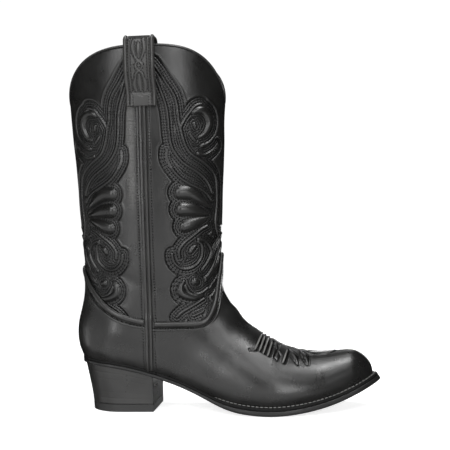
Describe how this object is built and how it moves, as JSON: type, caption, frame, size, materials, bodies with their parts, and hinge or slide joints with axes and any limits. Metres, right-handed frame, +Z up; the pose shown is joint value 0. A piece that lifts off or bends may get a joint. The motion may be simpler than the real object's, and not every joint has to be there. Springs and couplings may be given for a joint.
{
  "type": "cowboy boot",
  "caption": "Right-foot western boot in black leather with a scalloped top, pull straps, padded scroll panels, welted sole and a low underslung heel.",
  "frame": {"origin": "on the floor, below the middle of the boot's bounding box", "axes": "+X towards the toe, +Y towards the medial side (the inside of a right foot), +Z up the leg"},
  "size_m": [0.2924, 0.1128, 0.3478],
  "materials": {
    "upper_leather": "smooth black calf with a satin wax finish",
    "trim_leather": "black edge-dyed trim leather, satin",
    "lining_leather": "undyed tan pigskin lining, matte",
    "sock_leather": "dark smooth sock leather",
    "insole_leather": "vegetable-tanned board, raw flesh side",
    "sole_leather": "black-dyed sole leather, burnished edge",
    "heel_stack": "stacked heel leather, blacked and polished",
    "foam": "thin open foam backing, matte",
    "stiffener": "pasted leather board, matte",
    "interlining": "woven cotton interlining",
    "lift_rubber": "black rubber, matte",
    "shank_steel": "pressed spring steel",
    "nail_steel": "bright steel wire",
    "nail_brass": "brass lift nails",
    "peg_wood": "birch pegs",
    "cork": "granulated cork filler",
    "rib_canvas": "gemming canvas",
    "welt_thread": "waxed black thread"
  },
  "bodies": {
    "root": {"shaft_front": "upper_leather", "shaft_back": "upper_leather", "vamp": "upper_leather", "counter": "upper_leather", "vamp_rim": "trim_leather", "counter_rim": "trim_leather", "vamp_cords": "trim_leather", "side_piping_lateral": "trim_leather", "side_piping_medial": "trim_leather", "pull_strap_lateral": "trim_leather", "pull_strap_medial": "trim_leather", "topline_binding_front": "trim_leather", "topline_binding_back": "trim_leather", "shaft_padding_front": "foam", "shaft_padding_back": "foam", "shaft_lining_front": "lining_leather", "shaft_lining_back": "lining_leather", "vamp_lining": "lining_leather", "heel_lining": "lining_leather", "vamp_interlining": "interlining", "heel_stiffener": "stiffener", "toe_puff": "stiffener", "insole": "insole_leather", "sock_liner": "sock_leather", "insole_rib": "rib_canvas", "cork_filler": "cork", "shank": "shank_steel", "welt": "sole_leather", "heel_rand": "sole_leather", "outsole": "sole_leather", "heel_block": "heel_stack", "top_lift": "lift_rubber", "heel_nails": "nail_steel", "heel_screw": "nail_steel", "top_lift_nails": "nail_brass", "waist_pegs": "peg_wood", "welt_stitching": "welt_thread"}
  },
  "joints": []
}
